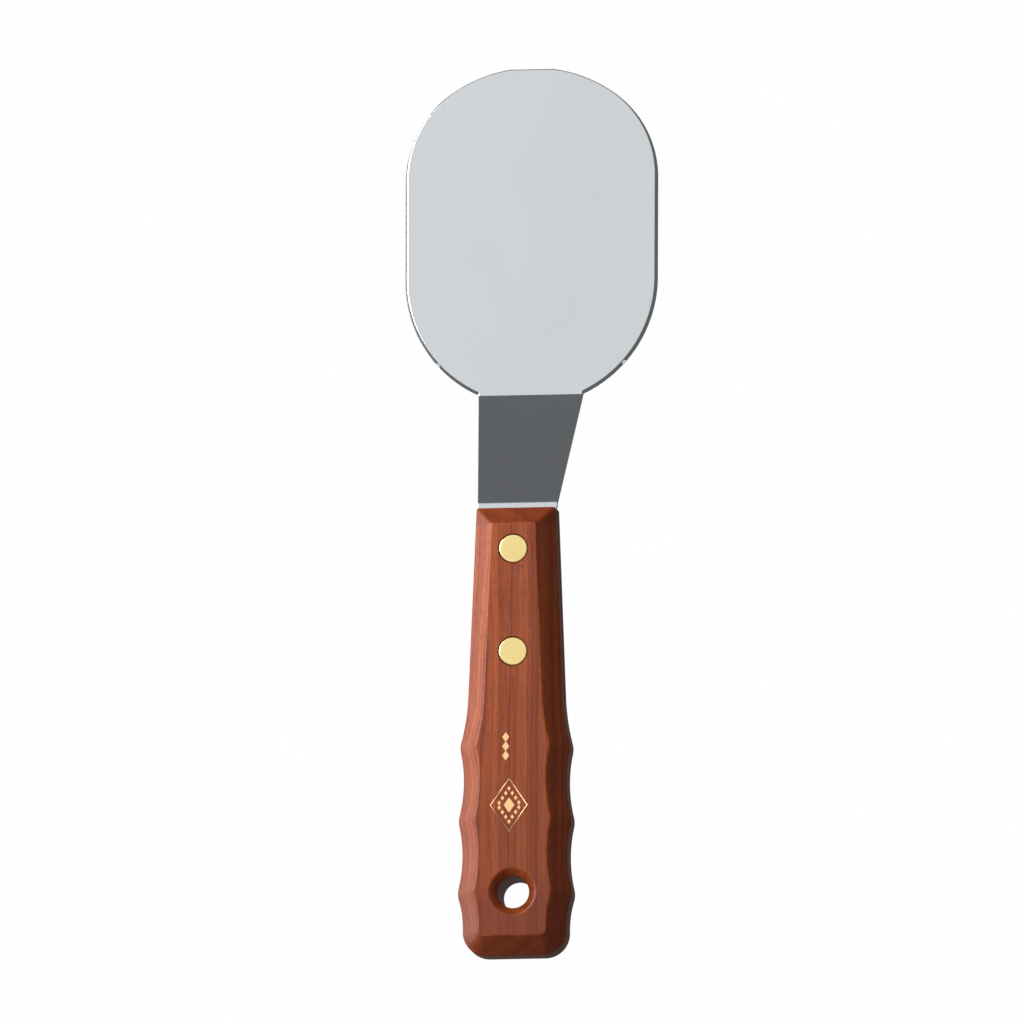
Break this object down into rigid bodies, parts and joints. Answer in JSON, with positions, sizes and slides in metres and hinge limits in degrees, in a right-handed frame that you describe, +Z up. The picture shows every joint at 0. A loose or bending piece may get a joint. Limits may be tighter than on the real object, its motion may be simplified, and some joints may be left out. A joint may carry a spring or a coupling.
{
  "type": "palette knife",
  "caption": "Broad offset palette knife: a round-cornered steel blade with a cranked neck, riveted into a ridged hardwood handle with a hanging hole.",
  "frame": {"origin": "centre of the bounding box's footprint, on the surface the knife lies on", "axes": "+Y from the handle to the blade's tip, +X to the right, +Z up; the knife lies on its heel bend and the lower edge of its butt, with the tip raised"},
  "size_m": [0.071, 0.2542, 0.0281],
  "materials": {
    "steel": "satin polished stainless sheet",
    "wood": "oiled reddish-brown hardwood",
    "brass": "polished"
  },
  "bodies": {
    "root": {"blade": "steel", "handle": "wood", "front_rivet_stud": "brass", "front_rivet_tube": "brass", "rear_rivet_stud": "brass", "rear_rivet_tube": "brass"}
  },
  "joints": []
}
